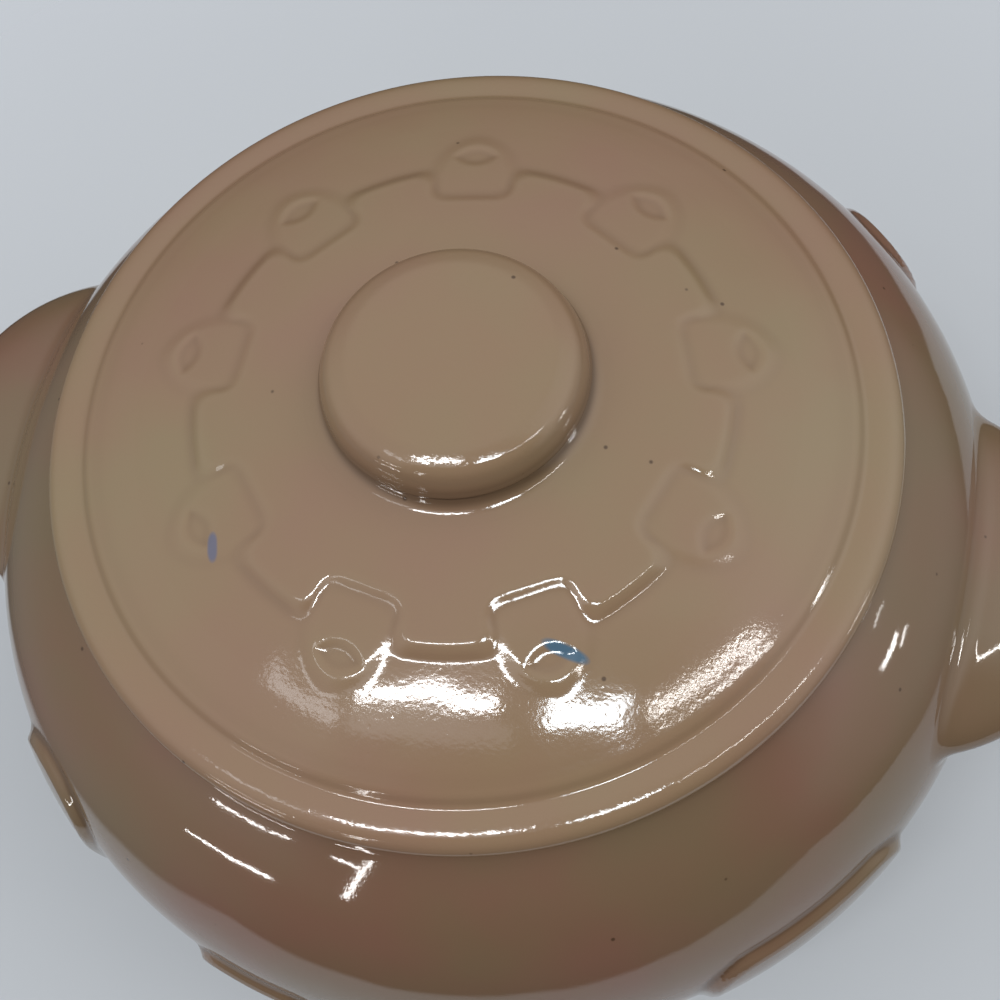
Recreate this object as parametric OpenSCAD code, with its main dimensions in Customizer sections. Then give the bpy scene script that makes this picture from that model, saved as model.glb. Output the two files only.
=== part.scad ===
// Stoneware cookie jar: a round-bellied pot with two lug handles and a domed lid that lifts off.
// Millimetres, +Z up. The origin is the middle of the foot, on the table. The handles lie along X.

/* [Jar body] */
// Diameter at the widest line of the belly, without its relief
belly_d = 249; // [236:1:270]
// Height of the widest line above the table
belly_z = 92; // [82:1:100]
// Height of the lip, which is the seat of the lid
body_h = 150; // [142:1:160]
// Outer diameter of the lip
lip_d = 187; // [182:1:192]
// Inner diameter of the mouth
mouth_d = 167; // [160:1:171]
// Thickness of the wall
wall = 7; // [6:0.5:9]
// Thickness of the floor inside the foot ring
floor_t = 8; // [7:0.5:12]
// Rounding of the lip's outer edge
lip_round = 3; // [1:0.5:4]
// Outer diameter of the foot ring
foot_d = 148; // [130:1:160]
// Height of the foot ring
foot_h = 5; // [3:0.5:8]
// Width of the foot ring
foot_w = 10; // [7:0.5:14]
// How far the lip and the foot ring stand out of the side
ledge = 0.8; // [0.4:0.1:1.5]

/* [Belly relief] */
// Height that a panel stands out of the belly
panel_t = 2.2; // [1:0.1:3]
// Turn of the tall panel from the middle of its side
tall_turn = -43.5; // [-46:0.5:-40]
// How far the middle of the tall panel is below the widest line
tall_drop = 2; // [1:0.5:6]
// Width of the tall panel
tall_w = 31; // [26:1:34]
// Height of the tall panel
tall_h = 56; // [46:1:60]
// Rounding of the tall panel's corners
tall_corner = 15; // [5:0.5:15]
// Number of low panels in the middle of a side
low_n = 3; // [1:1:3]
// Turn of the middle low panel from the middle of its side
low_turn = 4.5; // [2:0.5:6]
// Angle from one low panel to the next
low_pitch = 18; // [16:0.5:18.5]
// How far the middles of the low panels are below the widest line
low_drop = 10; // [6:0.5:14]
// Width of a low panel
low_w = 31; // [24:1:33]
// Height of a low panel
low_h = 30; // [22:1:34]
// Rounding of a low panel's corners
low_corner = 7; // [5.5:0.5:10]
// Turn of the wide panel from the middle of its side
wide_turn = 48.5; // [47:0.5:50]
// How far the middle of the wide panel is below the widest line
wide_drop = 4; // [1:0.5:8]
// Width of the wide panel
wide_w = 55; // [44:1:58]
// Height of the wide panel
wide_h = 36; // [28:1:40]
// Rounding of the wide panel's corners
wide_corner = 12; // [5:0.5:14]

/* [Handles] */
// How far a handle stands out past the widest line
handle_overhang = 20.5; // [16:0.5:26]
// Radius of a handle's round outline, seen from above
handle_r = 45; // [40:1:50]
// Height of the middle of a handle's rounded edge
handle_z = 110; // [104:1:114]
// Thickness of the rounded edge
handle_t = 16; // [12:1:18]
// Rise of the top face from the edge to the middle of its outline
handle_crown = 8; // [5:1:14]
// Rise of the hollow under the handle, where the fingers go
handle_hollow = 5; // [2:0.5:7]

/* [Lid] */
// Outer diameter of the lid
lid_d = 190; // [188:1:196]
// Thickness of the lid's rounded edge
rim_t = 6; // [5:0.5:8]
// Width of the flat band between the edge and the dome
rim_w = 10; // [8:0.5:12]
// Fall of the flat band towards the edge
rim_fall = 0.5; // [0:0.1:1]
// Step from the flat band up to the dome
step_h = 1.4; // [1:0.1:2.5]
// Rise of the dome above that step
dome_rise = 15.4; // [12:0.2:20]
// Thickness of the dome
lid_wall = 7; // [5.5:0.5:8]
// Thickness of the ring that locates the lid in the mouth
flange_t = 5; // [4:0.5:7]
// Depth of that ring below the seat
flange_h = 9; // [6:0.5:12]
// Play between that ring and the mouth, all round
lid_clearance = 1.5; // [0.8:0.1:2.5]

/* [Lid relief] */
// Number of medallions in the ring
relief_n = 9; // [7:1:9]
// Turn of the ring from the handles' line
relief_turn = 20; // [0:1:40]
// Radius of the raised middle between two medallions
plateau_r = 57; // [54:0.5:59]
// Radius of the raised middle behind a medallion
notch_r = 48.5; // [45:0.5:51]
// Angle taken by the notch behind a medallion
notch_angle = 19; // [16:0.5:22]
// Height that the raised middle stands out of the dome
plateau_t = 1.2; // [1:0.1:2]
// Height that a medallion stands out of the dome
medallion_t = 0.8; // [0.5:0.1:0.9]
// Radius at the two side corners of a medallion
medallion_side_r = 63.5; // [61:0.5:65]
// Radius at the tip of a medallion
medallion_tip_r = 69.5; // [67:0.5:72]
// Width of a medallion across its side corners
medallion_w = 20; // [17:0.5:22]
// Radius at the middle of the small sunk lozenge in a medallion
recess_r = 62; // [60:0.5:63.5]
// Width of the small sunk lozenge
recess_w = 9.5; // [7:0.5:11]
// Length of the small sunk lozenge, outwards
recess_l = 5.5; // [4:0.5:7]
// Depth of the small sunk lozenge
recess_depth = 0.6; // [0.3:0.1:0.8]

/* [Knob] */
// Diameter of the knob
knob_d = 53; // [46:1:60]
// Thickness of the knob's disc
knob_t = 10; // [8:0.5:14]
// Rounding of the knob's upper edge
knob_round = 4.5; // [3:0.5:5]
// Rounding of the knob's lower edge
knob_under_round = 3; // [2:0.5:4]
// Height of the waist between the disc and the dome
neck_h = 2.1; // [1:0.1:4]
// How far the waist is set in from the disc
neck_inset = 3; // [2:0.5:6]

/* [Hidden] */
$fn = 96;
eps = 0.01;
big = 400;
// How far a shape runs on into the one that it joins or cuts
overlap = 1;
body_colour = "#7f664e";
lid_colour = "#94795f";

belly_r = belly_d / 2;
lip_r = lip_d / 2;
mouth_r = mouth_d / 2;
foot_r = foot_d / 2;
shoulder_z = body_h - lip_round;
// Radius, to a tenth, of an arc that starts upright and passes a point dr further in and dz away
function arc_r(dr, dz) = round(5 * (dr * dr + dz * dz) / dr) / 10;
shoulder_arc = arc_r(belly_r - lip_r + ledge, shoulder_z - belly_z);
flank_arc = arc_r(belly_r - foot_r + ledge, belly_z - foot_h);

lid_r = lid_d / 2;
dome_r = lid_r - rim_w;
flange_r = mouth_r - lid_clearance;
band_z = body_h + rim_t;
dome_z = band_z + step_h;
dome_arc = arc_r(dome_rise, dome_r);
dome_centre_z = dome_z + dome_rise - dome_arc;
knob_r = knob_d / 2;
neck_r = knob_r - neck_inset;
// Height of the raised middle where the waist of the knob meets it
neck_z = dome_centre_z + sqrt(pow(dome_arc + plateau_t, 2) - neck_r * neck_r);
knob_z = neck_z + neck_h;

// Plan or profile of everything to the right of the axis, between two heights
module right_of_axis(z_low, z_high, r_max = big) {
    translate([0, z_low])
        square([r_max, z_high - z_low]);
}

// Disc whose edge is upright at the widest line, grown by t
module side_disc(r, t) {
    translate([belly_r - r, belly_z])
        circle(r = r + t);
}

// Profile of the jar's side between two heights, grown by t: one arc above the widest line, one below
module side_profile(z_low, z_high, t = 0) {
    intersection() {
        union() {
            side_disc(shoulder_arc, t);
            right_of_axis(z_low, belly_z);
        }
        union() {
            side_disc(flank_arc, t);
            right_of_axis(belly_z, z_high);
        }
        right_of_axis(z_low, z_high);
    }
}

// Jar without its mouth, its cavity or its lip, grown by t
module jar_form(t = 0) {
    rotate_extrude()
        side_profile(foot_h, shoulder_z, t);
}

// Rounded lip above the shoulder and foot ring below the flank
module lip_and_foot() {
    rotate_extrude() {
        right_of_axis(belly_z, body_h, lip_r - lip_round);
        translate([lip_r - lip_round, shoulder_z])
            circle(r = lip_round);
        right_of_axis(0, belly_z, foot_r);
    }
}

// Space inside the jar, with the mouth above it and the hollow inside the foot ring
module cavity() {
    rotate_extrude()
        side_profile(foot_h + floor_t, body_h - wall / 2, -wall);
    translate([0, 0, belly_z])
        cylinder(r = mouth_r, h = big);
    translate([0, 0, -eps])
        cylinder(r = foot_r - foot_w, h = foot_h + eps);
}

// Outline of a lozenge, w along X and h along Y
module lozenge_outline(w, h) {
    polygon([[w / 2, 0], [0, h / 2], [-w / 2, 0], [0, -h / 2]]);
}

// Outline of a panel, w wide and h high, with round corners
module panel_outline(w, h, corner) {
    square([w - 2 * corner, h], center = true);
    square([w, h - 2 * corner], center = true);
    for (x = [-1, 1], y = [-1, 1])
        translate([x * (w / 2 - corner), y * (h / 2 - corner)])
            circle(r = corner);
}

// Outline pushed out through the wall of the belly on both sides, turned and below the widest line
module on_both_sides(turn, drop) {
    for (side = [90, 270])
        rotate([0, 0, side + turn])
            translate([belly_r - wall, 0, belly_z - drop])
                rotate([90, 0, 90])
                    linear_extrude(height = 2 * wall)
                        children();
}

// Row of raised panels on each side, between the handles: one tall, then the low ones, then one wide
module panels() {
    intersection() {
        jar_form(panel_t);
        union() {
            on_both_sides(tall_turn, tall_drop)
                panel_outline(tall_w, tall_h, tall_corner);
            for (i = [0 : low_n - 1])
                on_both_sides(low_turn + (i - (low_n - 1) / 2) * low_pitch, low_drop)
                    panel_outline(low_w, low_h, low_corner);
            on_both_sides(wide_turn, wide_drop)
                panel_outline(wide_w, wide_h, wide_corner);
        }
    }
}

module jar_body() {
    color(body_colour)
        difference() {
            union() {
                jar_form();
                lip_and_foot();
                panels();
            }
            cavity();
        }
}

// Round lug with a crowned top, a rounded edge and a hollow under it, turned about its own axis
module lug() {
    edge = handle_t / 2;
    top_arc = arc_r(handle_crown, handle_r - edge);
    under_arc = arc_r(handle_hollow, handle_r - edge);
    translate([belly_r + handle_overhang - handle_r, 0, handle_z])
        rotate_extrude()
            difference() {
                union() {
                    translate([handle_r - edge, 0])
                        circle(r = edge);
                    intersection() {
                        translate([0, edge + handle_crown - top_arc])
                            circle(r = top_arc);
                        right_of_axis(-edge, big, handle_r - edge);
                    }
                }
                translate([0, -edge + handle_hollow - under_arc])
                    circle(r = under_arc);
                translate([-big, -big / 2])
                    square([big, big]);
            }
}

// Lug cut to the side of the jar, so that it lies on it face to face
module handle() {
    color(body_colour)
        difference() {
            lug();
            jar_form();
        }
}

module right_handle() {
    handle();
}

module left_handle() {
    rotate([0, 0, 180])
        handle();
}

// Dome of the lid grown by t, cut off below height z_low and beyond radius r_max
module dome_form(t, z_low, r_max) {
    rotate_extrude()
        intersection() {
            translate([0, dome_centre_z])
                circle(r = dome_arc + t);
            right_of_axis(z_low, big, r_max);
        }
}

// Rim of the lid: a flat band that falls a little towards a rounded edge
module lid_rim() {
    edge = (rim_t - rim_fall) / 2;
    rotate_extrude() {
        translate([lid_r - edge, body_h + edge])
            circle(r = edge);
        polygon([[0, body_h], [lid_r - edge, body_h], [lid_r - edge, band_z - rim_fall],
                 [dome_r, band_z], [0, band_z]]);
    }
}

// Children at each medallion's place, with +X outwards
module round_the_ring() {
    for (i = [0 : relief_n - 1])
        rotate([0, 0, relief_turn + i * 360 / relief_n])
            children();
}

// Plan of the raised middle: a round plate with a straight-backed notch at each medallion
module plateau_plan() {
    half = tan(notch_angle / 2);
    out_r = plateau_r + overlap;
    difference() {
        circle(r = plateau_r);
        round_the_ring()
            polygon([[notch_r, -notch_r * half], [out_r, -out_r * half],
                     [out_r, out_r * half], [notch_r, notch_r * half]]);
    }
}

// Plan of a medallion: parallel sides out of its notch, side corners, and a tip outwards
module medallion_plan() {
    half = notch_r * tan(notch_angle / 2);
    back_r = notch_r - overlap;
    polygon([[back_r, -half], [medallion_side_r, -medallion_w / 2], [medallion_tip_r, 0],
             [medallion_side_r, medallion_w / 2], [back_r, half]]);
}

// Raised ring round the knob
module lid_relief() {
    intersection() {
        dome_form(plateau_t, body_h + rim_t / 2, dome_r);
        linear_extrude(height = big)
            plateau_plan();
    }
    difference() {
        intersection() {
            dome_form(medallion_t, body_h + rim_t / 2, dome_r);
            linear_extrude(height = big)
                round_the_ring()
                    medallion_plan();
        }
        difference() {
            linear_extrude(height = big)
                round_the_ring()
                    translate([recess_r, 0])
                        lozenge_outline(recess_l, recess_w);
            dome_form(medallion_t - recess_depth, body_h, dome_r + overlap);
        }
    }
}

// Ring under the lid that drops into the mouth, and the hollow under the dome inside it
module under_lid() {
    under_r = flange_r - flange_t;
    under_z = body_h - flange_h - overlap;
    dome_form(-lid_wall, under_z, under_r);
    translate([0, 0, under_z])
        cylinder(r = under_r, h = body_h + eps - under_z);
}

module lid() {
    color(lid_colour)
        difference() {
            union() {
                lid_rim();
                dome_form(0, body_h + rim_t / 2, dome_r);
                lid_relief();
                translate([0, 0, body_h - flange_h])
                    cylinder(r = flange_r, h = flange_h + eps);
            }
            under_lid();
        }
}

// Knob: a thick disc with rounded edges on a narrower waist, its foot cut to the raised middle
module lid_knob() {
    top_z = knob_z + knob_t;
    color(lid_colour)
        difference() {
            rotate_extrude() {
                right_of_axis(dome_z, top_z, neck_r);
                right_of_axis(knob_z + knob_under_round, top_z - knob_round, knob_r);
                right_of_axis(knob_z, top_z, knob_r - max(knob_round, knob_under_round));
                intersection() {
                    translate([knob_r - knob_round, top_z - knob_round])
                        circle(r = knob_round);
                    right_of_axis(0, big);
                }
                intersection() {
                    translate([knob_r - knob_under_round, knob_z + knob_under_round])
                        circle(r = knob_under_round);
                    right_of_axis(0, big);
                }
            }
            dome_form(plateau_t, 0, big);
        }
}

jar_body();
right_handle();
left_handle();
lid();
lid_knob();
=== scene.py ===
# %% [markdown]
# # A stoneware cookie jar
# This lesson dresses the imported model of a lidded stoneware jar for a render. The model gives five
# clay pieces: the jar body, two lug handles, the lid and its knob. Each of them is made again here
# as a finer surface, because glaze softens every edge and the imported pieces are cut sharp.
# The first cell loads the imported model.
# %% Load the imported model
import bpy
import numpy as np
from mathutils import Matrix


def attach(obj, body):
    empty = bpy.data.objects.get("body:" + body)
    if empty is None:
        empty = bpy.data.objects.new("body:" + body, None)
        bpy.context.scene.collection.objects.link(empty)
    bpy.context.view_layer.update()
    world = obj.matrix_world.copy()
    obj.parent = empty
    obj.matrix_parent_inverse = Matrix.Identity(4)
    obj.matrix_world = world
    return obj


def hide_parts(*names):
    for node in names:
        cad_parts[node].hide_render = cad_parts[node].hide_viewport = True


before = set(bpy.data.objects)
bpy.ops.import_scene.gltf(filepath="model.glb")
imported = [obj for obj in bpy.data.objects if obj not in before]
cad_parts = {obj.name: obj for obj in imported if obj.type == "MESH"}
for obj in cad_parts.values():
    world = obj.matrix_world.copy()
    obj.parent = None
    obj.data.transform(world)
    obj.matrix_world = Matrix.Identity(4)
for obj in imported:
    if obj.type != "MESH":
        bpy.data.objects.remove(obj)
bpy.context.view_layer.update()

# %% [markdown]
# ## Sizes of the pot
# The sizes are the ones the model was built with, in millimetres, with the middle of the foot at
# the origin and +Z up. Blender works in metres, so a mesh is scaled by MM when it is made.
# The pot's side is two arcs that meet at its widest line. They end a small ledge inside the lip and
# the foot, which stand out from them by that much. The sizes of the lid and the knob come later.
# %% Sizes of the pot
MM = 0.001
belly_r, belly_z, body_h, wall = 124.5, 92.0, 150.0, 7.0
lip_r, mouth_r, lip_round, ledge = 93.5, 83.5, 3.0, 0.8
foot_r, foot_h, foot_w, floor_z = 74.0, 5.0, 10.0, 13.0


def arc_radius(dr, dz):
    """Radius (dr^2 + dz^2) / (2 dr), to 0.1 mm, of an arc that starts upright and ends dr in, dz away."""
    return round(5 * (dr * dr + dz * dz) / dr) / 10


shoulder_arc = arc_radius(belly_r - lip_r + ledge, body_h - lip_round - belly_z)
flank_arc = arc_radius(belly_r - foot_r + ledge, belly_z - foot_h)
print("the shoulder's arc is", shoulder_arc, "mm and the flank's", flank_arc, "mm in radius")


# %% The pot's plain side
def side_arc(z):
    """Radius of the arc that the side follows at height z: the shoulder's above the widest line."""
    return np.where(z > belly_z, shoulder_arc, flank_arc)


def side_radius(z):
    """Distance of the plain side from the axis at height z, by Pythagoras on its arc."""
    arc = side_arc(z)
    return belly_r - arc + np.sqrt(np.maximum(arc * arc - (z - belly_z) ** 2, 0))


print("the side at the foot is", round(float(side_radius(foot_h)), 2), "mm from the axis")

# %% [markdown]
# ## From a profile to a mesh
# Thrown and cast pots are turned shapes, so each piece is a profile carried round the axis. The
# grid's two parameters are the place along the profile and the angle round the axis. Blender could
# also spin a curve with its Screw modifier, but a grid of points can be lifted by a formula at each
# point, and that is how the relief is made.
# A profile is drawn with sharp corners and then blurred along its own length, which is what glaze
# does to clay.
# %% Arcs and soft corners
def arc_points(centre, radius, start, end, count=60):
    """Points on a circle in the (r, z) plane: centre + radius * (cos a, sin a), a in degrees."""
    a = np.radians(np.linspace(start, end, count))
    return np.stack([centre[0] + radius * np.cos(a), centre[1] + radius * np.sin(a)], axis=1)


def softened(path, blur, fine=0.2):
    """The path resampled every `fine` mm and averaged with a bell curve `blur` mm wide, ends kept."""
    path = np.concatenate([np.atleast_2d(p) for p in path])
    s = np.concatenate([[0], np.cumsum(np.hypot(*np.diff(path, axis=0).T))])
    t = np.arange(0, s[-1], fine)
    dense = np.stack([np.interp(t, s, path[:, 0]), np.interp(t, s, path[:, 1])], axis=1)
    reach = int(3 * blur / fine)
    bell = np.exp(-0.5 * (np.arange(-reach, reach + 1) * fine / blur) ** 2)
    bell /= bell.sum()
    before, after = 2 * dense[0] - dense[reach:0:-1], 2 * dense[-1] - dense[-2:-reach - 2:-1]
    padded = np.concatenate([before, dense, after])
    return np.stack([np.convolve(padded[:, k], bell, "valid") for k in (0, 1)], axis=1)


corner = softened([(0, 0), (10, 0), (10, 10)], 1.0)
cut = np.hypot(*(corner - (10, 0)).T).min()
print("a blur of 1 mm cuts a square corner by", round(cut, 2), "mm")


# %% Points along a profile
def spaced(path, spacing):
    """Points along the path at even steps of its length over spacing(r, z), so about that far apart."""
    step = np.hypot(*np.diff(path, axis=0).T)
    middle = (path[1:] + path[:-1]) / 2
    pace = np.concatenate([[0], np.cumsum(step / spacing(middle[:, 0], middle[:, 1]))])
    want = np.linspace(0, pace[-1], int(round(pace[-1])) + 1)
    return np.stack([np.interp(want, pace, path[:, 0]), np.interp(want, pace, path[:, 1])], axis=1)


even = spaced(corner, lambda r, z: 0 * r + 2)
print("the soft corner takes", len(even), "points at 2 mm apart")

# %% [markdown]
# A turned piece can carry relief: each point of the grid moves out along the profile's normal by a
# height that depends on where it is. The same heights tell where glaze gathers, because it runs off
# edges and stands in corners. That depth is kept on the mesh as an attribute for the material.
# %% Turning a profile
def pooled(height, reach=3):
    """How far each point lies below the mean of four points `reach` steps away, in mm."""
    padded = np.pad(height, ((reach, reach), (0, 0)), "edge")
    along = padded[2 * reach:] + padded[:-2 * reach]
    return (along + np.roll(height, reach, 1) + np.roll(height, -reach, 1)) / 4 - height


def turned(profile, columns, lift=None):
    """Points (r cos a, r sin a, z) of a turned profile, moved out along its normal by lift(r, z, a)."""
    tangent = np.gradient(profile, axis=0)
    tangent /= np.hypot(*tangent.T)[:, None]
    normal = np.stack([-tangent[:, 1], tangent[:, 0]], axis=1)
    angle = np.arange(columns) * 2 * np.pi / columns
    r, z = profile[:, :1] + 0 * angle, profile[:, 1:] + 0 * angle
    out = 0 * r if lift is None else lift(r, z, angle + 0 * r)
    r = r + out * normal[:, :1]
    z = z + out * normal[:, 1:]
    return np.stack([r * np.cos(angle), r * np.sin(angle), z], axis=-1), pooled(out)


print("a turned corner is a grid of", turned(even, 12)[0].shape, "numbers")


# %% The skin over the rings
def ring_faces(rows, columns):
    """Quads between neighbouring rings, and a fan of triangles that closes each end."""
    here = np.arange(columns)
    after = (here + 1) % columns
    start = np.arange(rows - 1)[:, None] * columns
    quads = np.stack([start + here, start + columns + here, start + columns + after,
                      start + after], axis=-1).reshape(-1, 4)
    top, bottom = rows * columns, rows * columns + 1
    low = (rows - 1) * columns
    caps = np.concatenate([
        np.stack([np.full(columns, top), here, after], axis=1),
        np.stack([np.full(columns, bottom), low + after, low + here], axis=1)])
    return quads, caps


def ring_mesh(name, rings, first, last, body, cad_nodes, pool_and_shade=None):
    """A closed piece from rings of points (rows x columns x 3, in mm) and a middle point per end."""
    quads, caps = ring_faces(*rings.shape[:2])
    points = np.concatenate([rings.reshape(-1, 3), [first], [last]]) * MM
    mesh = bpy.data.meshes.new(name)
    mesh.from_pydata(points.tolist(), [], quads.tolist() + caps.tolist())
    mesh.polygons.foreach_set("use_smooth", np.ones(len(mesh.polygons), bool))
    mesh.update()
    # The attribute holds the depth of pooled glaze, and on the knob painted shade.
    depth_and_shade = np.zeros(len(points)) if pool_and_shade is None else np.append(pool_and_shade.ravel(), [0, 0])
    mesh.attributes.new("pool_and_shade", "FLOAT", "POINT").data.foreach_set("value", depth_and_shade.astype(np.float32))
    piece = bpy.data.objects.new(name, mesh)
    bpy.context.scene.collection.objects.link(piece)
    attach(piece, body)
    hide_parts(*cad_nodes)
    print(name, "has", len(quads) * 2 + len(caps), "triangles")
    return piece


print("two rings of 12 points take", [len(part) for part in ring_faces(2, 12)], "faces")

# %% [markdown]
# ## The jar body
# The body is one pot: an arc from the foot to the widest line, a second arc from there to the
# shoulder, a rounded lip, and the same two arcs again on the inside, one wall thickness in. One
# profile that runs from the inner floor over the lip to the underside gives a closed pot at once,
# with no shell to thicken.
# %% Profile of the jar body
collar_h, collar_in, lip_start = 5.0, 2.0, 80


def inner_side():
    """The flank's and the shoulder's arcs, one wall thickness in, up to the collar of the mouth."""
    flank, shoulder = (belly_r - flank_arc, belly_z), (belly_r - shoulder_arc, belly_z)
    inner_flank, inner_shoulder = flank_arc - wall, shoulder_arc - wall
    low = -np.degrees(np.arcsin((belly_z - floor_z) / inner_flank))
    high = np.degrees(np.arccos((mouth_r + collar_in - shoulder[0]) / inner_shoulder))
    return [arc_points(flank, inner_flank, low, 0), arc_points(shoulder, inner_shoulder, 0, high)]


def outer_side():
    """The round of the lip, the shoulder's arc and the flank's arc, from the top down."""
    flank, shoulder = (belly_r - flank_arc, belly_z), (belly_r - shoulder_arc, belly_z)
    high = np.degrees(np.arcsin((body_h - lip_round - belly_z) / shoulder_arc))
    low = -np.degrees(np.arcsin((belly_z - foot_h) / flank_arc))
    return [
        arc_points((lip_r - lip_round, body_h - lip_round), lip_round, lip_start, 0, count=12),
        arc_points(shoulder, shoulder_arc, high, 0),
        arc_points(flank, flank_arc, 0, low)]


body_profile = [
    (0, floor_z), *inner_side(),
    (mouth_r, body_h - collar_h), (mouth_r, body_h), (lip_r - lip_round, body_h), *outer_side(),
    (foot_r, foot_h), (foot_r, 0), (foot_r - foot_w, 0), (foot_r - foot_w, foot_h), (0, foot_h)]
print("the body's profile has", len(body_profile), "points and arcs")

# %% [markdown]
# Each side of the belly carries a row of panels about two millimetres proud: one tall, three low
# and one wide, all with round corners. Their height at a point is a function of the distance to the
# nearest outline, so the same formula gives the flat tops and the soft, glazed-over edges. Turns
# are in degrees from the middle of a side, and a drop is how far a panel's middle lies below the
# widest line.
# %% Panels of the belly
panel_t, panel_edge, low_pitch = 2.15, 3.4, 18.0
tall = {"turn": -43.5, "drop": 2.0, "w": 31.0, "h": 56.0, "corner": 15.0}
low = {"turn": 4.5, "drop": 10.0, "w": 31.0, "h": 30.0, "corner": 7.0}
wide = {"turn": 48.5, "drop": 4.0, "w": 55.0, "h": 36.0, "corner": 12.0}
low_row = [dict(low, turn=low["turn"] + step * low_pitch) for step in (-1, 0, 1)]
panels = [tall, wide, *low_row]
print("panels on each side:", len(panels))


# %% Relief of the belly
skin_depth, band_half, far_out = 2.0, 40.0, -50.0


def smooth_step(x):
    """0 below 0, 1 above 1, and 3x^2 - 2x^3 between them."""
    x = np.clip(x, 0, 1)
    return x * x * (3 - 2 * x)


def step_up(inside, edge):
    """0 outside an outline, 1 inside it, and a soft slope `edge` mm wide in between."""
    return smooth_step(0.5 + inside / edge)


def panel_depth(across, up, w, h, corner):
    """Depth of a point in a w by h rectangle with round corners: the corner's radius less the
    distance to the rectangle that joins the corners' middles, and below 0 outside it."""
    x, y = abs(across) - w / 2 + corner, abs(up) - h / 2 + corner
    return corner - np.hypot(np.maximum(x, 0), np.maximum(y, 0)) - np.minimum(np.maximum(x, y), 0)


def belly_relief(r, z, angle):
    """Height of the panels, each seen straight on; only the outer skin of the belly is lifted."""
    side = angle % np.pi - np.pi / 2
    inside = np.full_like(r, far_out)
    for panel in panels:
        across = r * np.sin(side - np.radians(panel["turn"]))
        up = z - belly_z + panel["drop"]
        inside = np.maximum(inside, panel_depth(across, up, panel["w"], panel["h"], panel["corner"]))
    outer = (r > side_radius(z) - skin_depth) & (abs(z - belly_z) < band_half)
    return panel_t * step_up(inside, panel_edge) * outer


print("a 31 by 30 mm panel is", panel_depth(0.0, 0.0, 31, 30, 7), "mm deep at its middle")

# %% [markdown]
# Rows of points lie close together where the panels, the lip and the foot need them, and wide apart
# on the plain wall, so that the pot stays light enough to export.
# %% Build the jar body
body_blur, body_columns = 0.9, 600
wall_row, side_row, shoulder_row, fine_row = 9.0, 4.0, 2.0, 1.2
panels_low, panels_high, lip_low, foot_high, foot_in = 58, 122, 144, 7, 60


def body_spacing(r, z):
    """Close rows where the panels are, wider ones on the plain wall, fine ones at lip and foot."""
    outside = r > side_radius(z) - skin_depth
    space = np.where(outside, side_row, wall_row)
    space[outside & (z > panels_low) & (z < panels_high)] = fine_row
    space[outside & (z >= panels_high)] = shoulder_row
    space[(z > lip_low) | (z < foot_high) & (r > foot_in)] = fine_row
    return space


profile = spaced(softened(body_profile, body_blur), body_spacing)
rings, pool_and_shade = turned(profile[1:-1], body_columns, belly_relief)
jar_body = ring_mesh("jar_body_glazed", rings, (0, 0, floor_z), (0, 0, foot_h), "jar",
                     ["jar_body"], pool_and_shade)

# %% [markdown]
# ## The handles
# Each handle is a round lug, like part of a thick coin, luted to the shoulder with the joint
# smoothed over. A surface with a soft joint is easiest as the zero line of a blended distance: the
# distance to the lug and the distance to the pot are joined with a smooth minimum, and the skin is
# found along rays from a point inside both. The lug is crowned above and a little hollow below, to
# give the fingers a hold.
# %% Shape of a handle
lug_r, lug_x, lug_z, lug_t = 45.0, 100.0, 110.0, 16.0
crown, hollow, blend_width, sunk = 8.0, 5.0, 3.0, 0.03


def lug_distance(x, y, z):
    """About the distance in mm to the lug: half an ellipsoid above, a rounded, hollow disc below."""
    edge, rise = lug_r - lug_t / 2, lug_t / 2 + crown
    out, up = np.hypot(x - lug_x, y), z - lug_z
    scale = np.hypot(out / lug_r, up / rise)
    slope = np.maximum(np.hypot(out / lug_r ** 2, up / rise ** 2), 1e-9)
    above = scale * (scale - 1) / slope
    inner = 1 - np.clip(out / edge, 0, 1) ** 2
    middle = (crown + hollow) / 2 * inner
    half = lug_t / 2 + (crown - hollow) / 2 * inner
    below = np.hypot(np.maximum(out - edge, 0), up - middle) - half
    return np.where(up > 0, above, below)


def pot_distance(x, y, z):
    """Distance in mm to the side of the pot, measured from the middle of the arc it follows."""
    r, arc = np.hypot(x, y), side_arc(z)
    return np.hypot(r - (belly_r - arc), z - belly_z) - arc


def joined_distance(x, y, z):
    """Smooth minimum of the two distances, rounded off over blend_width where they are alike."""
    a, b = lug_distance(x, y, z), pot_distance(x, y, z) + sunk
    h = np.maximum(blend_width - abs(a - b), 0) / blend_width
    return np.minimum(a, b) - h * h * blend_width / 4


print("the lug's tip is", joined_distance(lug_x + lug_r, 0, lug_z), "mm from the skin")

# %% [markdown]
# The rays start in the lug's middle. On each of them the joined distance is below zero inside the
# clay and above it outside, so halving the stretch in between forty times finds the skin. The rays
# open out from the tip until the joint has run out on the pot.
# %% Find a handle's skin
ray_end, halvings, run_out = 120.0, 40, 4.0
first_tilt, last_tilt, tilt_trials = 2, 118, 400
fan_out, fan_side, fan_up = 45, 52, 18


def on_rays(rays):
    """Where each ray from the lug's middle leaves the joined shape, found by halving the distance."""
    centre = np.array([lug_x, 0, lug_z])
    near, far = np.zeros(rays.shape[:2]), np.full(rays.shape[:2], ray_end)
    for _ in range(halvings):
        mid = (near + far) / 2
        p = centre + rays * mid[..., None]
        inside = joined_distance(p[..., 0], p[..., 1], p[..., 2]) < 0
        near, far = np.where(inside, mid, near), np.where(inside, far, mid)
    return centre + rays * near[..., None]


def tilted(tilt, turn):
    """Unit rays: tilt opens from straight out, turn goes round, drawn wide and flat as the lug is."""
    rays = np.stack([np.cos(tilt) * fan_out + 0 * turn, np.sin(tilt) * np.cos(turn) * fan_side,
                     np.sin(tilt) * np.sin(turn) * fan_up], axis=-1)
    return rays / np.linalg.norm(rays, axis=-1, keepdims=True)


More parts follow.
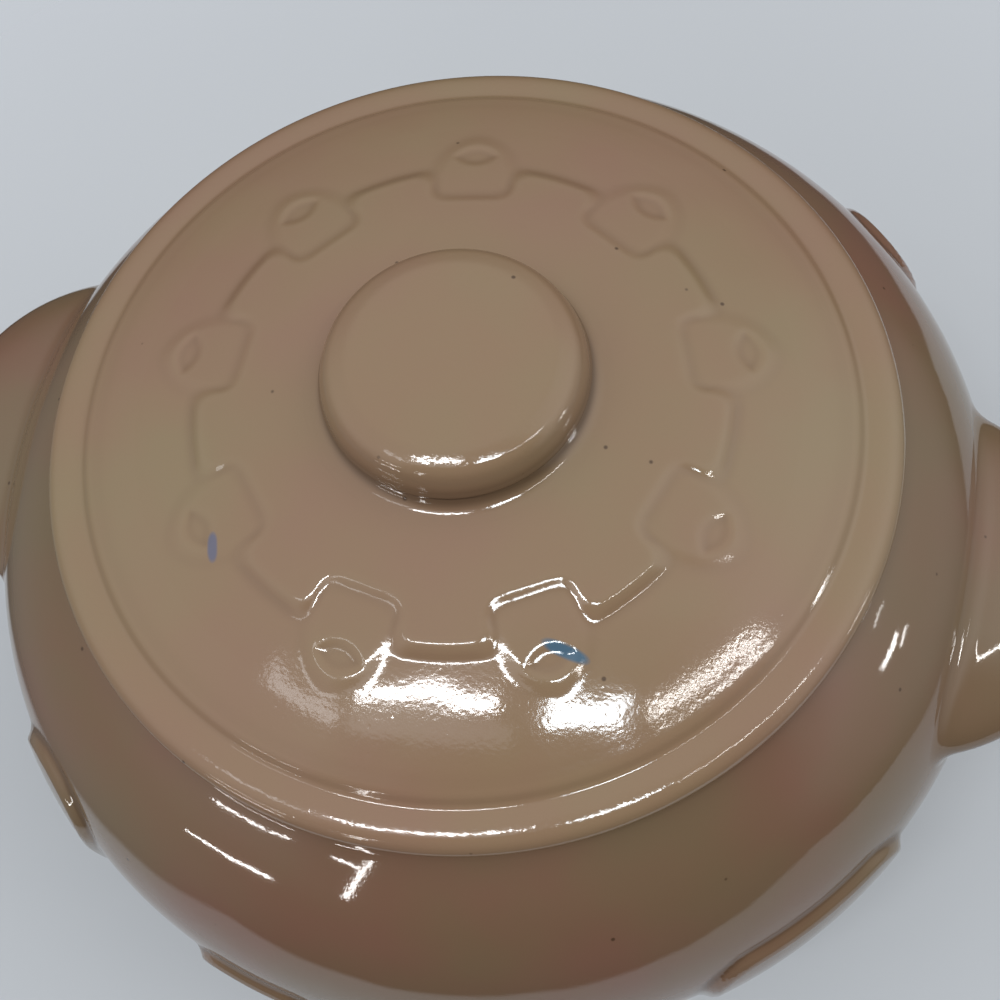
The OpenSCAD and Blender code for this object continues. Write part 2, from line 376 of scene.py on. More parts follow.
def handle_rings(rows=96, columns=192):
    """Rings of skin from the lug's tip to the line where the soft joint has run out on the pot."""
    turn = np.arange(columns) * 2 * np.pi / columns
    trial = np.radians(np.linspace(first_tilt, last_tilt, tilt_trials))[:, None]
    p = on_rays(tilted(trial, turn))
    past = lug_distance(p[..., 0], p[..., 1], p[..., 2]) > blend_width + run_out
    last = trial[np.argmax(past, axis=0), 0]
    tilt = trial[0] + (last - trial[0]) * np.linspace(0, 1, rows)[:, None]
    return on_rays(tilted(tilt, turn))


skin = handle_rings()
reach_out, skin_high = round(skin[..., 0].max(), 2), round(skin[..., 2].max(), 2)
print("a handle reaches", reach_out, "mm out, and its skin is", skin_high, "mm high")

# %% [markdown]
# The skin ends on the pot's own surface. From there the rings turn in and close inside the
# thickness of the wall, so each handle is a closed piece that hides its own back. The left handle
# is the right one after half a turn round the axis, which keeps its faces pointing outwards.
# %% Build both handles
half_turn = np.array([-1, -1, 1])


def wall_rings(rim, depth=3.5, count=12, smallest=0.06):
    """The rim drawn together towards its middle, on a copy of the pot's side `depth` mm in."""
    keep = np.linspace(1, smallest, count)[:, None]
    across = np.arctan2(rim[:, 1], rim[:, 0]) * keep
    z = lug_z + (rim[:, 2] - lug_z) * keep
    arc = side_arc(z)
    r = belly_r - arc + np.sqrt((arc - depth) ** 2 - (z - belly_z) ** 2)
    return np.stack([r * np.cos(across), r * np.sin(across), z], axis=-1)


back = wall_rings(skin[-1])
tip = (skin[0, :, 0].max(), 0, lug_z)
back_middle = (back[-1, :, 0].mean(), 0, lug_z)
handle_skin = np.concatenate([skin, back])
right_handle = ring_mesh("right_handle_glazed", handle_skin, tip, back_middle, "jar",
                         ["right_handle"])
left_handle = ring_mesh("left_handle_glazed", handle_skin * half_turn, tip * half_turn,
                        back_middle * half_turn, "jar", ["left_handle"])

# %% [markdown]
# ## The lid
# The lid is one turned piece: a shallow dome, a small step down to a flat band, a rim that rolls
# over gently, and underneath the ring that drops into the mouth. The dome is part of a large
# sphere. The roll of the rim is drawn as arcs laid end to end, because its slope at each radius is
# what decides where the light runs along it.
# %% Sizes of the lid
lid_r, rim_t, rim_w, step_h = 95.0, 6.0, 10.0, 1.4
dome_rise, lid_wall = 15.4, 7.0
flange_r, flange_t, flange_h = 82.0, 5.0, 9.0
dome_r = lid_r - rim_w
band_z = body_h + rim_t
dome_z = band_z + step_h
dome_arc = round(5 * (dome_r ** 2 + dome_rise ** 2) / dome_rise) / 10
dome_centre = dome_z + dome_rise - dome_arc


def dome_at(r, grown=0.0):
    """Height of the dome at radius r, by Pythagoras on its sphere, grown outwards by `grown` mm."""
    return dome_centre + np.sqrt((dome_arc + grown) ** 2 - r * r)


print("the dome's arc is", dome_arc, "mm in radius, and its top is", dome_at(0.0), "mm high")

# %% Profile of the lid
rim_bends = [(85.6, 2), (91.1, 11), (92.5, 19), (93.8, 40), (94.6, 62), (lid_r, 90)]
dome_points, hollow_points, bend_points = 120, 60, 16


def rolled(r, z, bends):
    """Arcs laid end to end from (r, z), each reaching the next (radius, tilt in degrees) pair."""
    points, tilt = [], np.radians(bends[0][1])
    for next_r, next_tilt in bends[1:]:
        next_tilt = np.radians(next_tilt)
        arc = (next_r - r) / (np.sin(next_tilt) - np.sin(tilt))
        t = np.linspace(tilt, next_tilt, bend_points)
        along_r = r + arc * (np.sin(t) - np.sin(tilt))
        along_z = z + arc * (np.cos(t) - np.cos(tilt))
        points.append(np.stack([along_r, along_z], axis=1))
        (r, z), tilt = points[-1][-1], next_tilt
    return np.concatenate(points)


def lid_profile():
    """Dome, step, rim that rolls over, seat, locating ring and the hollow under the dome."""
    r = np.linspace(0, dome_r, dome_points)
    hollow_r = np.linspace(flange_r - flange_t, 0, hollow_points)
    rim = rolled(rim_bends[0][0], band_z, rim_bends)
    under = rim[-1, 1] - body_h
    return [
        np.stack([r, dome_at(r)], axis=1),
        rim,
        arc_points((lid_r - under, body_h + under), under, 0, -90, bend_points),
        (flange_r, body_h), (flange_r, body_h - flange_h), (flange_r - flange_t, body_h - flange_h),
        np.stack([hollow_r, dome_at(hollow_r, -lid_wall)], axis=1)]


print("the rim ends", round(lid_profile()[1][-1, 1] - body_h, 2), "mm above the lip")

# %% [markdown]
# ## The relief on the lid
# The ring of relief round the knob is the jar's finest feature: a raised middle with nine notches,
# and in each notch a medallion with a sunk almond. It could be carved by booleans, but glazed relief
# has no sharp line anywhere. So each outline is a distance made of straight and round parts, joined
# with a smooth maximum, and the height steps up softly across it. The angle is folded first, so
# that one sector is drawn and repeats nine times.
# %% Sizes of the relief
relief_n, relief_turn, plateau_r, notch_r, notch_half = 9, 20.0, 57.6, 48.5, 9.5
plateau_t, medallion_t = 1.0, 0.5
side_r, tip_r, medallion_w = 63.5, 69.5, 20.0
recess_r, recess_w, recess_l, recess_depth = 62.0, 9.0, 4.8, 0.5
relief_edge, recess_edge = 3.8, 2.8
corner_round, tip_round, tip_blunt, level_round = 4, 10, 3, 0.5
relief_limit, near_dome, above_lip = 80, 2, 2
print("a medallion every", 360 / relief_n, "degrees")


# %% Outlines of the relief
def soft_max(a, b, width):
    """The larger of two distances, rounded off over `width` mm where they are alike."""
    h = np.maximum(width - abs(a - b), 0) / width
    return np.maximum(a, b) + h * h * width / 4


def almond_distance(x, y, w, h):
    """Distance in mm to an almond w wide and h long, which is the overlap of two equal discs."""
    disc = (w * w + h * h) / (4 * w)
    return np.hypot(abs(x) + disc - w / 2, y) - disc


def plateau_distance(r, x, y):
    """Distance to the raised middle: a disc less a notch with a straight back and sloping sides."""
    slope = np.radians(notch_half)
    notch = soft_max(notch_r - x, y * np.cos(slope) - x * np.sin(slope), corner_round)
    return soft_max(r - plateau_r, -notch, corner_round)


def medallion_distance(x, y):
    """Distance to a medallion: sides that widen outwards, and a blunt point beyond them."""
    base_half = notch_r * np.tan(np.radians(notch_half))
    widen = (medallion_w / 2 - base_half) / (side_r - notch_r)
    side = (y - base_half - (x - notch_r) * widen) * np.cos(np.arctan(widen))
    point = np.array([medallion_w / 2, tip_r - side_r])
    point /= np.hypot(*point)
    tip = (x - side_r) * point[0] + (np.hypot(y, tip_blunt) - medallion_w / 2) * point[1]
    return soft_max(side, tip, tip_round)


print("an almond's middle is", -almond_distance(0.0, 0.0, recess_l, recess_w), "mm inside it")

# %% [markdown]
# At each point the raised middle has one height, and the medallion less its almond has another. The
# larger of the two counts. Only the skin of the dome is lifted, so the rim, the seat and the hollow
# stay plain.
# %% Relief of the lid
def lid_relief(r, z, angle):
    """Height of the relief: raised middle with notches, medallions, and their sunk almonds."""
    pitch = 2 * np.pi / relief_n
    turn = (angle - np.radians(relief_turn) + pitch / 2) % pitch - pitch / 2
    x, y = r * np.cos(turn), abs(r * np.sin(turn))
    high = plateau_t * step_up(-plateau_distance(r, x, y), relief_edge)
    sunk_in = recess_depth * step_up(-almond_distance(x - recess_r, y, recess_l, recess_w), recess_edge)
    low = medallion_t * step_up(-medallion_distance(x, y), relief_edge) - sunk_in
    on_top = (z > body_h + above_lip) * (r < relief_limit) * (z > dome_at(r) - near_dome)
    return soft_max(high, low, level_round) * on_top


inner_r = notch_r / 2
print("the raised middle stands", float(lid_relief(inner_r, dome_at(inner_r), 0.0)), "mm proud")

# %% [markdown]
# Rows lie close together on the relief and round the edge, where every line shows, and wide apart
# where nothing does. The columns are the same all the way round, because the relief repeats.
# %% Build the lid
lid_blur, lid_columns = 0.7, 720
plain_row, relief_row, edge_row = 5.0, 0.6, 0.8
relief_from, relief_to, step_from, edge_from, top_skin = 43, 73, 81, 87, 2.5


def lid_spacing(r, z):
    """Close rows where the relief is and round the edge, wider ones elsewhere."""
    space = np.full_like(r, plain_row)
    top = z > dome_at(r) - top_skin
    space[top & (r > relief_from) & (r < relief_to)] = relief_row
    space[top & (r > step_from) | (r > edge_from)] = edge_row
    return space


profile = spaced(softened(lid_profile(), lid_blur), lid_spacing)
rings, pool_and_shade = turned(profile[1:-1], lid_columns, lid_relief)
top_middle, hollow_middle = (0, 0, dome_at(0.0, plateau_t)), (0, 0, dome_at(0.0, -lid_wall))
lid = ring_mesh("lid_glazed", rings, top_middle, hollow_middle, "lid", ["lid"], pool_and_shade)
print("the lid's glaze pools from", round(pool_and_shade.min(), 3), "to", round(pool_and_shade.max(), 3), "mm")

# %% [markdown]
# ## The knob
# The knob is a thick, slightly crowned disc with a rounded shoulder, and its side widens downwards.
# Under it, a hollow fillet of slip and glaze catches the light. The fillet runs out on the raised
# middle of the lid, and the profile turns in just under that surface. Both the top and the fillet
# are arcs laid end to end, as the lid's rim is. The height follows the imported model, where the neck
# stands on a raised middle plateau_cad thick.
# %% Profile of the knob
knob_t, neck_r, neck_h, plateau_cad = 10.0, 23.5, 2.1, 1.2
knob_z = dome_at(neck_r, plateau_cad) + neck_h
knob_top = knob_z + knob_t
knob_bends = [(0, 0), (20.5, 4), (22.4, 19), (24.8, 23), (26.8, 60), (27.8, 74), (28.2, 84)]
foot_bends = [(32.6, 7.7), (31.3, 12), (30.6, 17), (29.5, 25), (28.6, 40), (27.9, 62)]
side_foot_r, side_foot_z, under_round, crease = 27.3, 176.3, 1.3, (27.0, 174.7)
under_from, under_to = 21, -75
hem_from, hem_to, hem_start, hem_slope, hem_end, sunk_level = 33.0, 35.0, 32.9, 0.12, 34, 0.4


def knob_profile():
    """Top, rounded edge, widening side, its round lower edge, hollow foot, and a hem under the lid."""
    foot_start = foot_bends[0][0]
    foot = rolled(foot_start, dome_at(foot_start, plateau_t), foot_bends)[::-1]
    out = np.linspace(hem_from, hem_to, num=8)
    return [
        rolled(0, knob_top, knob_bends),
        arc_points((side_foot_r, side_foot_z), under_round, under_from, under_to, bend_points),
        crease, foot,
        np.stack([out, dome_at(out, plateau_t) - hem_slope * (out - hem_start)], axis=1),
        (hem_end, dome_at(hem_end, sunk_level)), (0, dome_at(0.0, sunk_level))]


print("the knob's top is", round(knob_top, 2), "mm high")

# %% [markdown]
# The knob's lower side and the crease under it are darkened to a dark brown with painted shade,
# where they face away from the light. That painted depth goes into the same attribute as the depth
# of the relief. It falls off like a bell curve up the side, and faster out along the fillet.
# %% Build the knob
knob_blur, knob_fine, knob_columns = 0.25, 0.1, 240
crown_r, crown_row, knob_row = 21, 2.5, 0.35
# Place, peak, climb and spread of the painted shade in the crease under the knob, in mm.
crease_r, crease_z, crease_in, shade_peak, shade_climb, shade_spread = 28.3, 175.8, 26, 0.5, 2.6, 2.5


def crease_shade(rings):
    """Painted shade under the knob, as a depth in mm: a bell curve of the height above the crease or way
    out.
    """
    r, z = np.hypot(rings[..., 0], rings[..., 1]), rings[..., 2]
    gap = np.where(z > crease_z, z - crease_z, shade_spread * (r - crease_r))
    return shade_peak * np.exp(-(gap / shade_climb) ** 2) * (r > crease_in)


def knob_spacing(r, _):
    """Fine rows on the edge and the foot, wider ones over the flat top and the hidden bottom."""
    return np.where(r < crown_r, crown_row, knob_row)


profile = spaced(softened(knob_profile(), knob_blur, knob_fine), knob_spacing)
rings = turned(profile[1:-1], knob_columns)[0]
# The knob's attribute carries the painted shade of its lower side and crease.
lid_knob = ring_mesh("lid_knob_glazed", rings, (0, 0, knob_top), (0, 0, dome_at(0.0, sunk_level)),
                     "lid", ["lid_knob"], crease_shade(rings))
print("the knob is", round(2 * rings[..., 0].max(), 2), "mm wide at its foot")

# %% [markdown]
# ## Helpers for materials
# A material is a tree of nodes. A helper that makes one node, sets it up and links it keeps the
# trees short enough to read. Inputs are given by name, or as i0, i1 and so on by their number.
# %% Nodes
def new_material(name):
    """A node material with its Principled shader and its node tree."""
    material = bpy.data.materials.new(name)
    material.use_nodes = True
    tree = material.node_tree
    shader = next(n for n in tree.nodes if n.type == "BSDF_PRINCIPLED")
    return material, tree, shader


def plug(tree, socket, value):
    """Link the socket to another one, or set it to a plain value."""
    if isinstance(value, bpy.types.NodeSocket):
        tree.links.new(value, socket)
    else:
        socket.default_value = value


def add(tree, kind, settings=None, **inputs):
    """One node, with its settings, and its inputs set to values or linked to sockets."""
    node = tree.nodes.new(kind)
    for key, value in (settings or {}).items():
        setattr(node, key, value)
    for key, value in inputs.items():
        numbered = key[0] == "i" and key[1:].isdigit()
        plug(tree, node.inputs[int(key[1:]) if numbered else key], value)
    return node


print("helpers for nodes: new_material, plug and add")


# %% Colours
def srgb(hex_colour):
    """A colour written as in a paint program, as the linear values that a shader wants."""
    c = np.array([int(hex_colour[i:i + 2], 16) for i in (1, 3, 5)]) / 255
    linear = np.where(c <= 0.04045, c / 12.92, ((c + 0.055) / 1.055) ** 2.4)
    return (*linear.tolist(), 1.0)


def ramp(tree, fac, stops):
    """Colour ramp through (position, colour) stops."""
    node = add(tree, "ShaderNodeValToRGB", i0=fac)
    elements = node.color_ramp.elements
    while len(elements) < len(stops):
        elements.new(0.5)
    for element, (position, colour) in zip(elements, stops):
        element.position = position
        element.color = srgb(colour)
    return node.outputs[0]


def mix(tree, fac, a, b):
    """Colour a where fac is 0 and b where it is 1."""
    node = add(tree, "ShaderNodeMix", {"data_type": "RGBA"})
    for index, value in ((0, fac), (6, a), (7, b)):
        plug(tree, node.inputs[index], value)
    return node.outputs[2]


print("mid grey is", round(srgb("#808080")[0], 3), "in linear light")


# %% Sums on sockets
def sum_node(tree, operation, *values):
    """One Math node over values or sockets."""
    inputs = {f"i{k}": value for k, value in enumerate(values)}
    return add(tree, "ShaderNodeMath", {"operation": operation}, **inputs).outputs[0]


def scaled(tree, value, start, end, low=0.0, high=1.0, curve="LINEAR"):
    """Value carried from the range start..end to low..high, and held at its ends."""
    return add(tree, "ShaderNodeMapRange", {"interpolation_type": curve},
               i0=value, i1=start, i2=end, i3=low, i4=high).outputs[0]


print("helpers for sums: sum_node and scaled")

# %% [markdown]
# ## Glazed stoneware
# The clay fires to a warm grey-brown and the clear brown glaze over it pools a little thicker here
# and there, so the colour drifts between a pinkish and an olive tan. Where the mesh says that glaze
# stands thick it is darker, and over edges it is thin and pale. On the knob the same attribute
# carries painted shade, which darkens its lower side and the crease under it. Specks of iron burn
# through as small dark dots, and the lid keeps two short dabs of blue paint. Everything reads Object
# coordinates or the mesh's attribute, so the pattern stays with the clay.
# %% Colour of the glaze
# The first brown darkens pooled glaze and paints the shade on the knob's lower side. The crease brown
# darkens the thickest pooled corners of the relief and paints the shade in the crease under the knob.
pool_and_shade_brown, thin_tan, thick_pool_and_shade_brown, iron_brown = "#735a45", "#9c8a6e", "#4a3626", "#4a3728"
full_depth, crease_depth, crease_share = 0.16, 0.5, 0.45
drift_scale, speck_scale, speck_core, speck_edge, speck_share = 17.0, 85.0, 0.026, 0.05, 0.85
dab_core, dab_edge, dab_share, end_power, side_power = 0.5, 1.4, 0.9, 3.0, 2.0


def dab(tree, where, middle, turn, length, width):
    """Mask of a short stroke: |u|^3 + |v|^2 of the place along and across it, faded; mm and degrees."""
    place = (middle[0] * MM, middle[1] * MM, 0)
    local = add(tree, "ShaderNodeMapping", {"vector_type": "TEXTURE"}, Vector=where, Location=place,
                Rotation=(0, 0, np.radians(turn)))
    split = add(tree, "ShaderNodeSeparateXYZ", i0=local.outputs[0])
    u = sum_node(tree, "MULTIPLY", split.outputs[0], 2 / (length * MM))
    v = sum_node(tree, "MULTIPLY", split.outputs[1], 2 / (width * MM))
    far = sum_node(tree, "ADD", sum_node(tree, "POWER", sum_node(tree, "ABSOLUTE", u), end_power),
                   sum_node(tree, "POWER", sum_node(tree, "ABSOLUTE", v), side_power))
    return scaled(tree, far, dab_core, dab_edge, dab_share, 0.0)


def glaze_colour(tree, where, tones, pool_and_shade_share, dabs):
    """Drifting tan, darker where glaze is thick and where shade is painted, paler where thin, with dabs
    and specks.
    """
    drift = add(tree, "ShaderNodeTexNoise", Vector=where, Scale=drift_scale, Detail=3.0, Roughness=0.5)
    colour = ramp(tree, drift.outputs[0], tones)
    # The attribute holds the depth of pooled glaze, and on the knob painted shade.
    depth_and_shade = add(tree, "ShaderNodeAttribute", {"attribute_name": "pool_and_shade"}).outputs["Fac"]
    depths = ((0.0, full_depth, pool_and_shade_share, pool_and_shade_brown), (0.0, -full_depth, pool_and_shade_share / 2, thin_tan),
              (full_depth, crease_depth, crease_share, thick_pool_and_shade_brown))
    for start, end, share, tone in depths:
        colour = mix(tree, scaled(tree, depth_and_shade, start, end, 0.0, share), colour, srgb(tone))
    for middle, turn, length, width, paint in dabs:
        colour = mix(tree, dab(tree, where, middle, turn, length, width), colour, srgb(paint))
    cells = add(tree, "ShaderNodeTexVoronoi", Vector=where, Scale=speck_scale)
    specks = scaled(tree, cells.outputs["Distance"], speck_core, speck_edge, speck_share, 0.0)
    return mix(tree, specks, colour, srgb(iron_brown))


print("glaze is fully dark where it is", full_depth, "mm deeper than round it")

# %% [markdown]
# The gloss is high, but no glaze is a perfect mirror. It has a slow wave, a fine orange peel that
# is stronger on the thin glaze of the rim and the knob, and scattered pits where bubbles broke. They
# are too small to model, so they are bump, and they break up the long highlights. Their rises, and
# the heights and radii where the knob and the rim begin, are in metres, as the coordinates are.
# %% Ripple of the glaze
peel_scale, wave_scale, pit_scale, pit_edge, wave_strength = 900.0, 55.0, 330.0, 0.16, 0.22
peel_rise, pit_rise, wave_rise = 0.0003, 0.0002, 0.001
knob_from, knob_full, rim_from, rim_full = 0.176, 0.180, 0.086, 0.089


def glaze_ripple(tree, where, split, peel_strength):
    """Normal bent by orange peel, then pits, then a slow wave; peel doubles on the rim and knob."""
    peel = add(tree, "ShaderNodeTexNoise", Vector=where, Scale=peel_scale, Detail=2.0)
    wave = add(tree, "ShaderNodeTexNoise", Vector=where, Scale=wave_scale, Detail=1.0)
    bubbles = add(tree, "ShaderNodeTexVoronoi", Vector=where, Scale=pit_scale)
    pits = scaled(tree, bubbles.outputs["Distance"], 0.0, pit_edge)
    flat = add(tree, "ShaderNodeCombineXYZ", i0=split.outputs[0], i1=split.outputs[1])
    reach = add(tree, "ShaderNodeVectorMath", {"operation": "LENGTH"}, i0=flat.outputs[0])
    edges = sum_node(tree, "MAXIMUM", scaled(tree, split.outputs[2], knob_from, knob_full),
                     scaled(tree, reach.outputs["Value"], rim_from, rim_full))
    rough = sum_node(tree, "MULTIPLY_ADD", edges, peel_strength, peel_strength)
    fine = add(tree, "ShaderNodeBump", Height=peel.outputs[0], Strength=rough, Distance=peel_rise)
    pitted = add(tree, "ShaderNodeBump", Height=pits, Strength=peel_strength, Distance=pit_rise,
                 Normal=fine.outputs[0])
    return add(tree, "ShaderNodeBump", Height=wave.outputs[0], Strength=wave_strength,
               Distance=wave_rise, Normal=pitted.outputs[0]).outputs[0]


print("the slow wave has a strength of", wave_strength)

# %% [markdown]
# The jar's foot ring was wiped clean before firing, so its lowest millimetres are bare, rough clay.
# The lid's glaze is a little lighter than the pot's, and rougher.
# %% The two glazes
glaze_ior, bare_clay, bare_rough, bare_fade = 1.56, "#b39c80", 0.85, 0.8


def glaze(name, tones, gloss, peel_strength, pool_and_shade_share, dabs=(), bare_below=None):
    """Glossy brown glaze: its colour, its ripple, and bare clay below a height in mm, if any."""
    material, tree, shader = new_material(name)
    where = add(tree, "ShaderNodeTexCoord").outputs["Object"]
    split = add(tree, "ShaderNodeSeparateXYZ", i0=where)
    colour = glaze_colour(tree, where, tones, pool_and_shade_share, dabs)
    plug(tree, shader.inputs["Normal"], glaze_ripple(tree, where, split, peel_strength))
    shader.inputs["Roughness"].default_value = gloss
    shader.inputs["IOR"].default_value = glaze_ior
    if bare_below is not None:
        bare = scaled(tree, split.outputs[2], bare_below * MM, (bare_below + bare_fade) * MM, 1.0, 0.0)
        colour = mix(tree, bare, colour, srgb(bare_clay))
        plug(tree, shader.inputs["Roughness"], scaled(tree, bare, 0.0, 1.0, gloss, bare_rough))
    plug(tree, shader.inputs["Base Color"], colour)
    print(name, "has", len(tree.nodes), "nodes")
    return material


blue_dabs = [((-43.1, -43.3), -75, 6.2, 2.2, "#63677e"), ((33.6, -51.4), -11, 9.6, 2.6, "#426a84")]
lid_tones = [(0.34, "#92745f"), (0.5, "#91785e"), (0.66, "#8f7c5f")]
jar_tones = [(0.34, "#81604f"), (0.5, "#7d654f"), (0.66, "#79684f")]
# The lid's glaze also paints the shade on the knob's lower side and in its crease.
lid_glaze = glaze("lid_glaze", lid_tones, gloss=0.08, peel_strength=0.055, pool_and_shade_share=0.35,
                  dabs=blue_dabs)
jar_glaze = glaze("jar_glaze", jar_tones, gloss=0.05, peel_strength=0.015, pool_and_shade_share=0.1,
                  bare_below=2.2)
for piece, material in ((jar_body, jar_glaze), (right_handle, jar_glaze), (left_handle, jar_glaze),
                        (lid, lid_glaze), (lid_knob, lid_glaze)):
    piece.data.materials.append(material)

# %% [markdown]
# ## Floor, light and camera
# The jar stands on a pale floor. For the camera the floor fades into the backdrop some way from the
# jar, so no horizon shows. For the glaze, which mirrors it, the floor is a pale rectangle that ends
# near the jar, because a mirror of endless white would wash out the brown of the belly. Sizes here
# and below are in metres.
# %% Floor
floor_r, floor_sides, floor_tone, floor_rough = 1.2, 128, "#cbd1d7", 0.85
fade_from, fade_to = 0.18, 0.42
mirror_middle, mirror_turn, mirror_half, mirror_soft = (0.08, -0.01, 0), 8, (0.30, 0.28), 0.015


def disc_mesh(name, radius, sides):
    """A flat round face on the floor, with its middle at the origin."""
    a = np.arange(sides) * 2 * np.pi / sides
    mesh = bpy.data.meshes.new(name)
    rim = np.stack([radius * np.cos(a), radius * np.sin(a), 0 * a], axis=1)
    mesh.from_pydata(rim.tolist(), [], [list(range(sides))])
    return mesh


floor = bpy.data.objects.new("floor", disc_mesh("floor", floor_r, floor_sides))
bpy.context.scene.collection.objects.link(floor)
print("the floor is", 2 * floor_r, "m across")

# %% Material of the floor
pale_floor, tree, shader = new_material("pale_floor")
shader.inputs["Base Color"].default_value = srgb(floor_tone)
shader.inputs["Roughness"].default_value = floor_rough
where = add(tree, "ShaderNodeTexCoord").outputs["Object"]
away = add(tree, "ShaderNodeVectorMath", {"operation": "LENGTH"}, i0=where).outputs["Value"]
fade = scaled(tree, away, fade_from, fade_to, curve="SMOOTHSTEP")
square_on = add(tree, "ShaderNodeMapping", {"vector_type": "TEXTURE"}, Vector=where,
                Location=mirror_middle, Rotation=(0, 0, np.radians(mirror_turn)))
across = add(tree, "ShaderNodeSeparateXYZ", i0=square_on.outputs[0])
off_sides = [scaled(tree, sum_node(tree, "ABSOLUTE", across.outputs[k]), half - mirror_soft,
                    half + mirror_soft, curve="SMOOTHSTEP") for k, half in enumerate(mirror_half)]
outside = sum_node(tree, "MAXIMUM", *off_sides)
by_camera = add(tree, "ShaderNodeLightPath").outputs["Is Camera Ray"]
gone = add(tree, "ShaderNodeMix", i0=by_camera, i2=outside, i3=fade).outputs[0]
clear = add(tree, "ShaderNodeBsdfTransparent")
both = add(tree, "ShaderNodeMixShader", i0=gone, i1=shader.outputs[0], i2=clear.outputs[0])
tree.links.new(both.outputs[0], tree.nodes["Material Output"].inputs["Surface"])
floor.data.materials.append(pale_floor)
print("the floor's material has", len(tree.nodes), "nodes")

# %% [markdown]
# The world is a soft room. Its brightness depends on how high one looks: dark near the floor,
# middling on the walls, bright on the ceiling. There is a window on the right and a pale wall on
# the left, and the front is dark a third of the way up. The camera itself sees only a pale
# backdrop. A room like that gives a brown glaze its dark and light sides, which an even white
# studio would not.
# %% World
world = bpy.data.worlds.new("soft_room")
bpy.context.scene.world = world
world.use_nodes = True
tree = world.node_tree
toward = add(tree, "ShaderNodeTexCoord").outputs["Generated"]


def facing(azimuth, height, start, end, low, high):
    """Goes from low to high as a direction comes near the one given, by the cosine between them."""
    a, e = np.radians([azimuth, height])
    axis = (np.cos(a) * np.cos(e), np.sin(a) * np.cos(e), np.sin(e))
    cosine = add(tree, "ShaderNodeVectorMath", {"operation": "DOT_PRODUCT"}, i0=toward, i1=axis)
    return scaled(tree, cosine.outputs["Value"], start, end, low, high, "SMOOTHSTEP")


ceiling = facing(0, 90, -0.02, 0.85, low=0.05, high=0.86)
window = facing(14, 20, 0.6, 0.95, low=0.0, high=0.55)
left_wall = facing(-165, 0, 0.55, 0.95, low=0.0, high=0.28)
dark_front = facing(-64, 33, 0.60, 0.84, low=1.0, high=0.15)
both_sides = sum_node(tree, "ADD", window, left_wall)
light = sum_node(tree, "MULTIPLY", sum_node(tree, "ADD", ceiling, both_sides), dark_front)
room = tree.nodes["Background"]
room.inputs["Color"].default_value = (0.90, 0.88, 0.87, 1)
tree.links.new(light, room.inputs["Strength"])
backdrop = add(tree, "ShaderNodeBackground", Color=srgb("#c8cdd4"), Strength=1.0)
by_camera = add(tree, "ShaderNodeLightPath").outputs["Is Camera Ray"]
both = add(tree, "ShaderNodeMixShader", i0=by_camera, i1=room.outputs[0], i2=backdrop.outputs[0])
tree.links.new(both.outputs[0], tree.nodes["World Output"].inputs["Surface"])
print("the room's world has", len(tree.nodes), "nodes")

# %% [markdown]
# Long lamps under the ceiling give the streaks on the lid, and thin ones on the walls give the short
# strokes on the belly. Each of them was placed by asking where a streak's mirrored ray goes. The
# camera doesn't see the lamps themselves.
# %% Making a lamp
def lamp(name, axes, middle, size, level, colour):
    """A flat lamp that shines along -axes[2] and is `level` times as bright as white."""
    data = bpy.data.lights.new(name, "AREA")
    data.shape, data.size, data.size_y = "RECTANGLE", *size
    data.energy, data.color = level * np.pi * size[0] * size[1], colour
    lamp_object = bpy.data.objects.new(name, data)
    lamp_object.matrix_world = placed(axes, middle)
    lamp_object.visible_camera = False
    bpy.context.scene.collection.objects.link(lamp_object)
    print(name, "is", round(size[0], 2), "m long and shines with", round(data.energy, 1), "W")


def placed(axes, middle):
    """The matrix that carries X, Y and Z to the three axes, and the origin to the middle."""
    rows = [[*row, m] for row, m in zip(np.transpose(axes).tolist(), middle)]
    return Matrix(rows + [[0, 0, 0, 1]])


print("a lamp of 1 square metre that is as bright as white shines with", round(np.pi, 2), "W")

# %% Lamps under the ceiling
ceiling_z, wall_away = 2.0, 3.0
cool, bluish, sunny, warm = (0.97, 0.98, 1), (0.88, 0.95, 1), (1, 0.98, 0.95), (1, 0.98, 0.96)


def long_lamp(name, start, end, width, level, colour):
    """A lamp under the ceiling from start to end (x, y) in metres, facing the floor."""
    start, end = np.array([*start, ceiling_z]), np.array([*end, ceiling_z])
    length = np.linalg.norm(end - start)
    along = (end - start) / length
    axes = [along, np.cross((0, 0, 1), along), (0, 0, 1)]
    lamp(name, axes, ((start + end) / 2).tolist(), (float(length), width), level, colour)


long_lamp("left_lamp", (-1.08, -0.66), (-0.70, -0.86), 0.12, 4, cool)
long_lamp("front_lamp", (-0.56, -0.695), (0.07, -0.585), 0.08, 44, cool)
long_lamp("low_glow", (-0.60, -0.88), (0.20, -0.78), 0.14, 1.0, cool)
long_lamp("corner_lamp", (0.34, -0.62), (0.69, -0.56), 0.17, 34, bluish)
long_lamp("right_lamp", (0.84, -0.54), (1.45, -0.02), 0.035, 36, sunny)


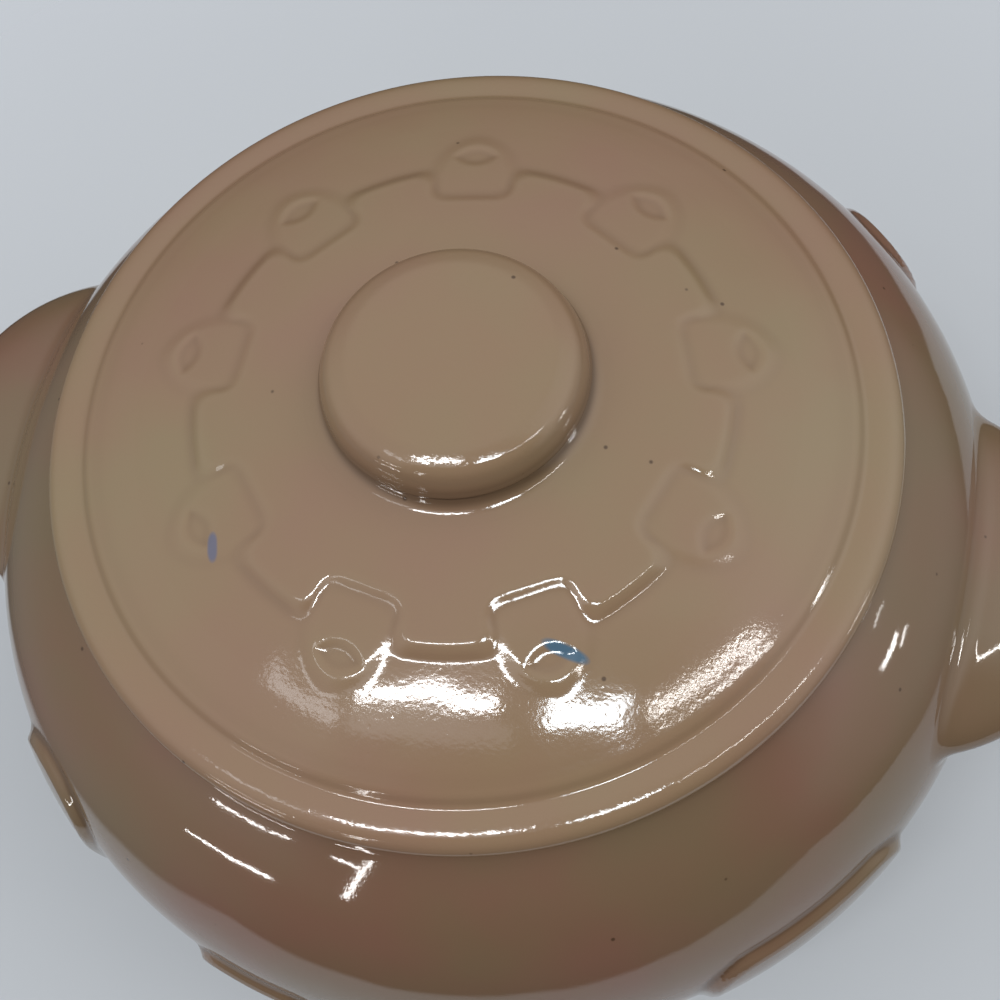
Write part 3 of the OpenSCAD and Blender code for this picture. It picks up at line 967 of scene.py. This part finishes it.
# %% Lamps on the walls
def far_lamp(name, start, end, width, level):
    """A thin lamp on the wall between two (azimuth, height) directions in degrees, facing the jar."""
    a, e = np.radians([start, end]).T
    ends = wall_away * np.stack([np.cos(a) * np.cos(e), np.sin(a) * np.cos(e), np.sin(e)], axis=1)
    length, middle = np.linalg.norm(ends[1] - ends[0]), ends.mean(axis=0)
    along, outward = (ends[1] - ends[0]) / length, middle / np.linalg.norm(middle)
    outward = outward - along * (outward @ along)
    outward /= np.linalg.norm(outward)
    axes = [along, np.cross(outward, along), outward]
    lamp(name, axes, middle.tolist(), (float(length), width), level, warm)


far_lamp("left_shelf", (-132, 23), (-117.4, 26.6), 0.025, 40)
far_lamp("left_sill", (-131.6, 3.2), (-124, 5.5), 0.03, 40)
far_lamp("left_sill_end", (-124, 5.5), (-116.4, 8.1), 0.055, 40)
far_lamp("left_post", (-102.2, 31), (-103.8, 14), 0.035, 30)
far_lamp("left_bar", (-107.8, 27.3), (-103.5, 26.7), 0.03, 40)
far_lamp("right_shelf", (4.6, 10.7), (-0.9, 10.8), 0.10, 30)
far_lamp("right_shelf_end", (6.6, 6.7), (3.3, 6.3), 0.06, 16)
far_lamp("right_sill", (8, 21.7), (3.7, 21.2), 0.03, 14)

# %% [markdown]
# The camera looks down on the jar from above the front, as in the photograph. Its place and its
# axes come from fitting the ellipses of the lid and the knob, the ring of medallions, and the
# outline of belly and handles. The up axis is squared to the right one, so that the matrix stays a
# plain turn.
# %% Camera
eye = (0.0666, -0.1365, 0.4485)
right, up = np.array([0.971, 0.219, -0.093]), np.array([-0.166, 0.903, 0.396])
right /= np.linalg.norm(right)
back_axis = np.cross(right, up)
back_axis /= np.linalg.norm(back_axis)
up = np.cross(back_axis, right)
optics = bpy.data.cameras.new("camera")
optics.lens, optics.sensor_width, optics.clip_start = 54.0, 36.0, 0.01
camera = bpy.data.objects.new("camera", optics)
camera.matrix_world = placed([right, up, back_axis], eye)
bpy.context.scene.collection.objects.link(camera)
bpy.context.scene.camera = camera
bpy.context.scene.view_settings.view_transform = "Standard"
print("the camera is", round(float(np.linalg.norm(eye)), 3), "m from the middle of the foot")
